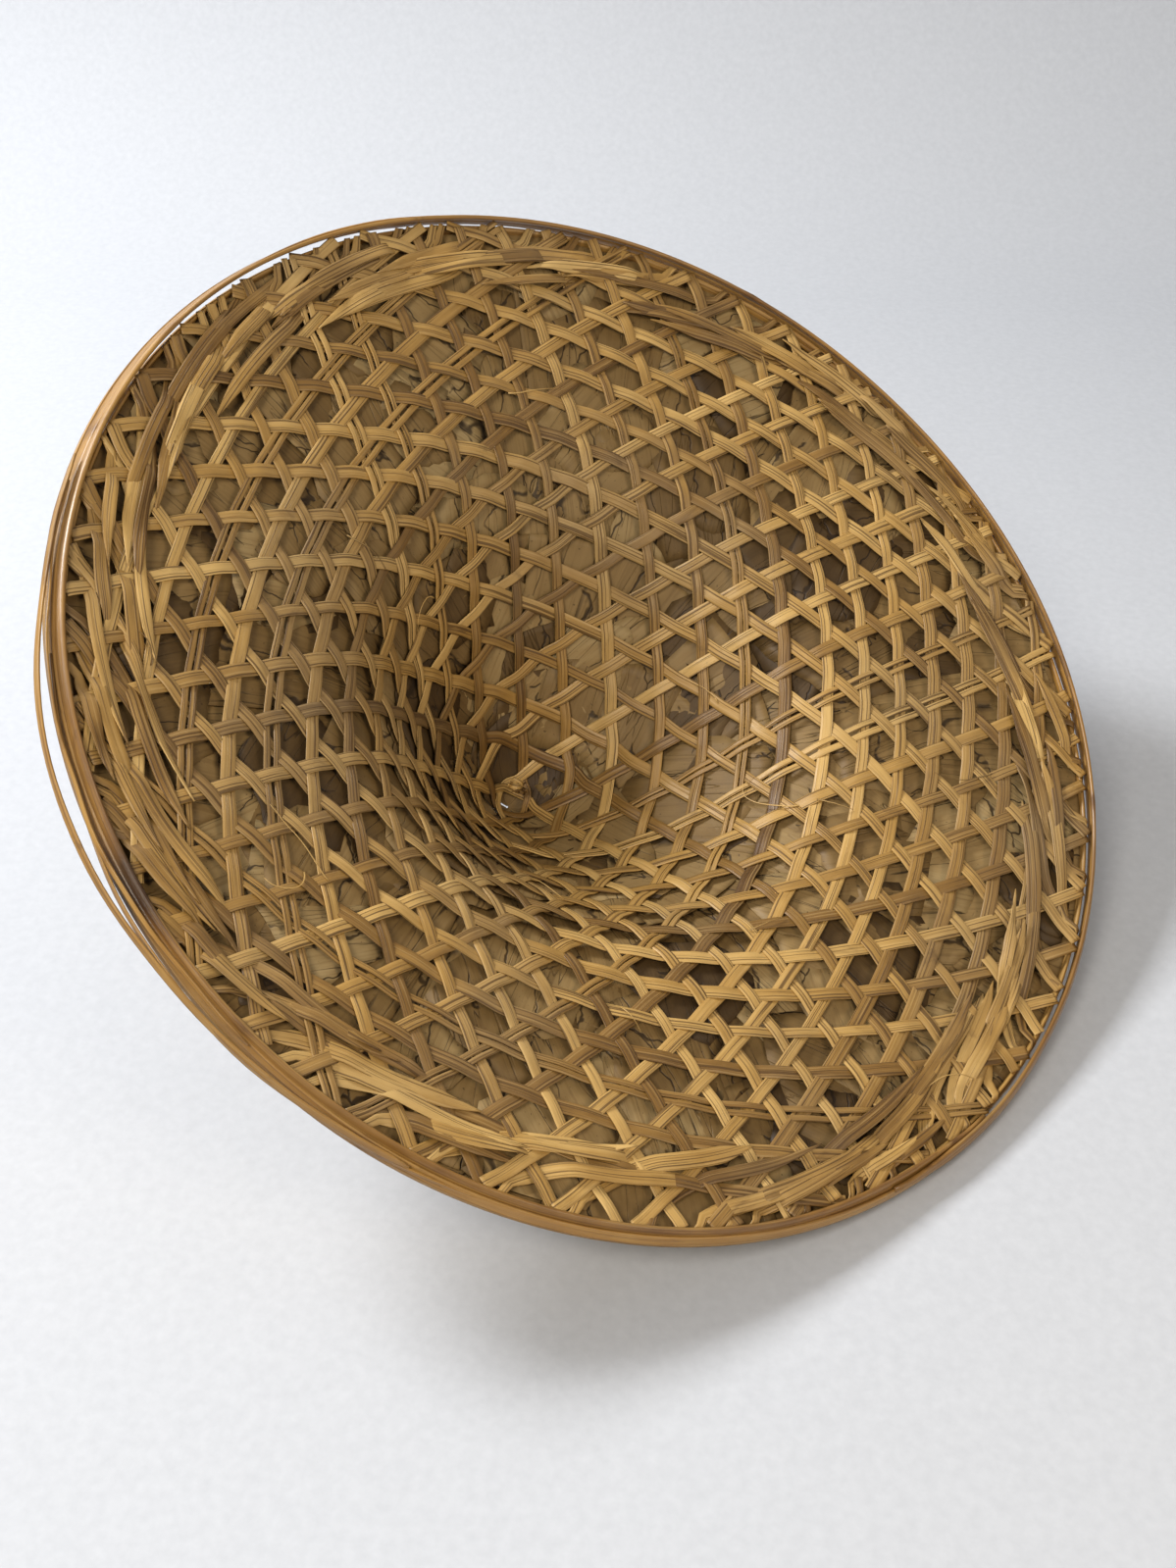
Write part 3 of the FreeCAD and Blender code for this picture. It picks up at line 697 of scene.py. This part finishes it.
def leafScrap(bundle, r, angle, layer, rng):
    # a torn piece of leaf with straight broken edges, lying inside the lining
    corners = rng.integers(scrap["corners"][0], scrap["corners"][1] + 1)
    size = rng.uniform(*scrap["size"])
    first = rng.uniform(0, 2 * math.pi)
    nudge = rng.uniform(-scrap["nudge"], scrap["nudge"], corners)
    facing = first + 2 * math.pi * (np.arange(corners) + nudge) / corners
    reach = size * rng.uniform(*scrap["reach"], corners)
    spoke = 2 * math.pi * np.arange(scrap["spokes"]) / scrap["spokes"]
    cosines = np.maximum(np.cos(spoke[None, :] - facing[:, None]), scrap["bluntest"])
    edge = np.minimum((reach[:, None] / cosines).min(0), size * scrap["longest"])
    edge = edge * (1 + rng.normal(size=scrap["spokes"]) * scrap["ragged"])
    rows = scrap["rings"] + 1
    share = np.linspace(scrap["centre"], 1, rows)[:, None]
    out, side = share * edge * np.cos(spoke), share * edge * np.sin(spoke)
    lean = rng.uniform(0, 2 * math.pi)
    steep = np.hypot(1, wallSlope(np.array([r])))[0]
    radii = np.clip(r + out / steep, *scrap["limits"])
    at = angle + side / np.maximum(radii, 12.0)
    ground, normals = wallFrame(np.stack([(radii * np.cos(at)).ravel(), (radii * np.sin(at)).ravel()], 1))
    slant = ((out * math.cos(lean) + side * math.sin(lean)) * rng.uniform(0.0, scrap["slant"])).ravel()
    top = ground + normals * (layer - rng.uniform(*scrap["drop"]) + slant)[:, None]
    low = top - normals * scrap["thickness"]
    grain = rng.uniform(-0.7, 0.7)
    u = (out * math.cos(grain) + side * math.sin(grain)).ravel() / layScale
    v = (side * math.cos(grain) - out * math.sin(grain)).ravel() / layScale
    u, v = u + rng.random() * layShift["leaf"], v + rng.random() * layShift["leaf"]
    lay = np.column_stack([u, v])
    tone = rng.uniform(*(scrap["darkTone"] if rng.random() < scrap["darkShare"] else scrap["tone"]))
    faces = sheetFaces(rows, scrap["spokes"], closed=True)
    grid = rows * scrap["spokes"]
    faces.append(tuple(range(scrap["spokes"])))
    faces.append(tuple(grid + i for i in range(scrap["spokes"]))[::-1])
    bundle.keep(np.vstack([top, low]), faces, np.vstack([lay, lay]), tone)


def liningLeaves():
    near, far = scrap["insideSpan"]
    for name, start in (("crown", 0.0), ("brim", lining["brimStart"])):
        amount, span = lining[name + "Leaves"], lining[name + "Span"]
        layer, scraps = lining[name + "Layer"], scrap[name + "Scraps"]
        for i in range(amount):
            bundle = Bundle()
            first, sweep = start + 2 * math.pi * i / amount, 2 * math.pi / amount + lining["overlap"]
            leafSheet(bundle, first, sweep, span, layer, rng)
            for _ in range(scraps):
                r = math.sqrt(rng.uniform((span[0] + near) ** 2, (span[1] - far) ** 2))
                leafScrap(bundle, r, first + sweep * rng.uniform(0.1, 0.9), layer, rng)
            piece = bundle.build("%sLeaf.%d" % (name, i + 1), leafWithGapShade)
            keepPiece(piece, "%s_leaf_%d" % (name, i + 1))
    print("leaf lining laid")


liningLeaves()


# node, slot, and splints as lap (degrees), sweep (degrees), radius, height, width, thickness, lean, bow
rimSplints = (
    ("core_hoop", "hoop", ((100, 374, 202.4, 6.7, 4.6, 1.4, 0.0, 0.0),)),
    ("base_hoop", "hoop", ((215, 374, 204.8, 2.9, 5.6, 1.6, 0.6, 0.0),)),
    ("outer_hoop", "hoop", ((40, 374, 206.3, 5.4, 4.9, 1.3, 0.35, 0.0),
                            (250, 230, 207.2, 7.0, 1.9, 0.9, 0.2, 0.9))),
    ("top_hoop", "hoop", ((130, 374, 203.8, 11.0, 3.6, 1.5, -0.2, 0.0),)),
    ("loose_splint", "thin_splint", ((279, 78, 207.2, 2.2, 2.4, 0.9, 0.5, 7.0),
                                     (270, 66, 206.8, 3.4, 1.7, 0.8, 0.2, 3.6),
                                     (296, 58, 206.6, 1.8, 1.5, 0.8, 0.4, 2.2))),
)
rimWander = {"step": 1.6, "lapGap": 0.3, "radial": 0.45, "rise": 0.45, "knotEvery": 78.0,
             "knotSpread": 0.9, "knotDark": 0.35, "knotThick": 0.35, "knotWide": 0.10, "burntAt": 312.8,
             "burntSpread": 4.2, "burntDark": 0.75, "burntFrom": 4, "tone": (0.45, 0.8)}


def rimHoops():
    for node, slot, splints in rimSplints:
        bundle = Bundle()
        for lap, sweep, radius, height, width, thickness, lean, bow in splints:
            degrees = lap + np.linspace(0, sweep, int(sweep / rimWander["step"]))
            n = len(degrees)
            share = np.linspace(0, 1, n)
            spare = max(sweep - 360, 6) / sweep
            late, early = np.clip((share - 1) / spare + 2, 0, 1), np.clip(2 - share / spare, 0, 1)
            step = late**2 * (3 - 2 * late) - early**2 * (3 - 2 * early)
            r = radius + step * (thickness + rimWander["lapGap"]) / 2 + bow * np.sin(math.pi * share) ** 2
            r = r + drift(rng, n, rimWander["radial"], 7)
            z = height + drift(rng, n, rimWander["rise"], 6)
            a = np.radians(degrees)
            out = np.stack([np.cos(a), np.sin(a), 0 * a], 1)
            path = out * r[:, None] + np.array([0, 0, 1.0]) * z[:, None]
            knots = np.abs((degrees + lap * 1.7) % rimWander["knotEvery"] - rimWander["knotEvery"] / 2)
            knot = np.exp(-((knots / rimWander["knotSpread"]) ** 2))
            past = (degrees - rimWander["burntAt"] + 180) % 360 - 180
            burnt = np.exp(-(past / rimWander["burntSpread"]) ** 2) * (width > rimWander["burntFrom"])
            tone = rng.uniform(*rimWander["tone"]) + drift(rng, n, 0.10, 8)
            tone = tone - rimWander["knotDark"] * knot - rimWander["burntDark"] * burnt
            taper = np.clip(np.minimum(share, 1 - share) / 0.02, 0.35, 1.0)
            widths = width * taper * (1 + rimWander["knotWide"] * knot + drift(rng, n, 0.03, 5))
            depths = thickness * (1 + rimWander["knotThick"] * knot)
            bundle.ribbon(path, out, widths, depths, np.repeat(tone, len(ribbonSection)), rng,
                          lean + drift(rng, n, 0.15, 6), cup=-0.5)
        words = node.split("_")
        keepPiece(bundle.build(words[0] + words[1].capitalize(), hoopBamboo), node)
    print("rim hoops bent")


rimHoops()

curl = {"spot": (4.0, 0.0, 108.9), "radius": 3.0, "turn": 5.4, "width": 2.8, "thickness": 0.5,
        "strands": 9, "knot": (-3.0, 2.0, 5.0), "spread": 2.6, "bend": 1.8, "strandWidth": 0.9,
        "strandThickness": 0.3}
cover = {"span": (0.4, 13.0), "layer": 0.45}


def tipCurl():
    # a strip end curled into a loop, with a frayed dark knot beside it
    bundle = Bundle()
    a = np.linspace(0, curl["turn"], 22)
    out = np.stack([np.cos(a), 0.25 * np.sin(a), np.sin(a)], 1)
    out /= np.linalg.norm(out, axis=1)[:, None]
    grow = curl["radius"] * (0.8 + 0.35 * a / curl["turn"])
    path = out * grow[:, None] + np.array(curl["spot"]) + np.outer(a, (0, 0.4, 0))
    width = curl["width"] * np.clip(1.2 - a / 9, 0.4, 1)
    bundle.ribbon(path, out, width, curl["thickness"], 0.8, rng)
    for _ in range(curl["strands"]):
        s = np.linspace(0, 1, 10)[:, None]
        reach = rng.normal(size=3) * curl["spread"]
        bend = rng.normal(size=3) * curl["bend"]
        path = np.array(curl["spot"]) + curl["knot"] + reach * (s - 0.5) + bend * np.sin(math.pi * s)
        normal = np.tile(rng.normal(size=3), (10, 1))
        width = curl["strandWidth"] * (1.1 - s[:, 0])
        bundle.ribbon(path, normal, width, curl["strandThickness"], rng.uniform(0.0, 0.4), rng)
    keepPiece(bundle.build("tipCurl", innerBamboo), "tip_curl")


tipCurl()
tipCap = Bundle()
leafSheet(tipCap, 0.0, 2 * math.pi, cover["span"], cover["layer"], rng)
keepPiece(tipCap.build("tipLeaf", leafWithGapShade), "tip_leaf")
print("tip closed")

stage = {"up": (0.44204, 0.33751, -0.83104), "lens": 42.21, "eye": (0.16771, -0.38450, -0.52592),
         "ahead": (-0.25083, 0.51528, 0.81949), "head": (0.37479, 0.83223, -0.40857)}


def makeCamera():
    data = bpy.data.cameras.new("viewCamera")
    data.lens = stage["lens"]
    data.sensor_width = 36.0
    data.clip_start = 0.01
    camera = bpy.data.objects.new("viewCamera", data)
    ahead = Vector(stage["ahead"]).normalized()
    right = ahead.cross(Vector(stage["head"])).normalized()
    up = right.cross(ahead)
    turn = Matrix((right, up, -ahead)).transposed().to_4x4()
    camera.matrix_world = Matrix.Translation(Vector(stage["eye"])) @ turn
    bpy.context.scene.collection.objects.link(camera)
    bpy.context.scene.camera = camera
    return ahead, right


ahead, right = makeCamera()
up = Vector(stage["up"]).normalized()
floorRight = (right - up * right.dot(up)).normalized()
floorBack = up.cross(floorRight)
lowest = min(p @ np.array(up) for piece in pieces for p in np.array([v.co for v in piece.data.vertices]))
floorMiddle = up * lowest


def onStage(x, y, z):
    # right, away from the camera and up, from the floor under the hat
    return floorMiddle + floorRight * x + floorBack * y + up * z


def oneSided(finish, shader):
    # the floor slopes against the upright hat, so its back lets other views through
    behind = finish.add("ShaderNodeNewGeometry", {}, {}, 6)
    clear = finish.add("ShaderNodeBsdfTransparent")
    mixed = finish.add("ShaderNodeMixShader", {}, {0: behind, 1: shader, 2: clear})
    finish.add("ShaderNodeOutputMaterial", {}, {"Surface": mixed})


def makeFloor():
    sweep = {"half": 2.6, "near": -1.6, "far": 0.62, "bend": 0.25, "tall": 2.2}
    profile = [(sweep["near"], 0.0), (sweep["far"], 0.0)]
    for i in range(1, 9):
        a = math.radians(90 * i / 8)
        profile.append((sweep["far"] + sweep["bend"] * math.sin(a), sweep["bend"] * (1 - math.cos(a))))
    profile.append((sweep["far"] + sweep["bend"], sweep["tall"]))
    points = [onStage(x, y, z) for y, z in profile for x in (-sweep["half"], sweep["half"])]
    faces = [(2 * i, 2 * i + 1, 2 * i + 3, 2 * i + 2) for i in range(len(profile) - 1)]
    mesh = bpy.data.meshes.new("floor")
    mesh.from_pydata([tuple(p) for p in points], [], faces)
    mesh.polygons.foreach_set("use_smooth", [True] * len(faces))
    finish = Finish("paleFloor")
    spot = finish.add("ShaderNodeTexCoord", {}, {}, 3)
    cloud = finish.cloud(spot, 260.0, 3.0)
    colour = finish.mix(cloud, (0.50, 0.51, 0.53), (0.60, 0.61, 0.63))
    shader = finish.add("ShaderNodeBsdfPrincipled", {}, {
        "Base Color": colour, "Roughness": 0.85, "Normal": finish.bump(cloud, 0.12, 0.0006)})
    oneSided(finish, shader)
    mesh.materials.append(finish.material)
    floor = bpy.data.objects.new("floor", mesh)
    bpy.context.scene.collection.objects.link(floor)


def makeLight(name, spot, size, power, colour):
    data = bpy.data.lights.new(name, "AREA")
    data.size = size
    data.energy = power
    data.color = colour
    lamp = bpy.data.objects.new(name, data)
    lamp.location = onStage(*spot)
    aim = onStage(0, 0, 0.08) - lamp.location
    lamp.rotation_mode = "QUATERNION"
    lamp.rotation_quaternion = aim.to_track_quat("-Z", "Y")
    bpy.context.scene.collection.objects.link(lamp)


def makeWorld():
    world = bpy.data.worlds.new("studio")
    world.use_nodes = True
    sky = world.node_tree.nodes["Background"]
    sky.inputs["Color"].default_value = (0.84, 0.9, 1.0, 1.0)
    sky.inputs["Strength"].default_value = 0.27
    bpy.context.scene.world = world


makeFloor()
makeLight("windowLight", (-0.95, 0.35, 1.15), 0.42, 25.0, (0.95, 0.97, 1.0))
makeLight("warmLight", (0.9, -0.9, 0.75), 0.5, 5.5, (1.0, 0.84, 0.62))
makeLight("frontLight", (-0.45, -0.95, 1.2), 0.4, 10.0, (1.0, 0.95, 0.87))
makeWorld()
bpy.context.scene.view_settings.view_transform = "Standard"
print("stage and lights set")
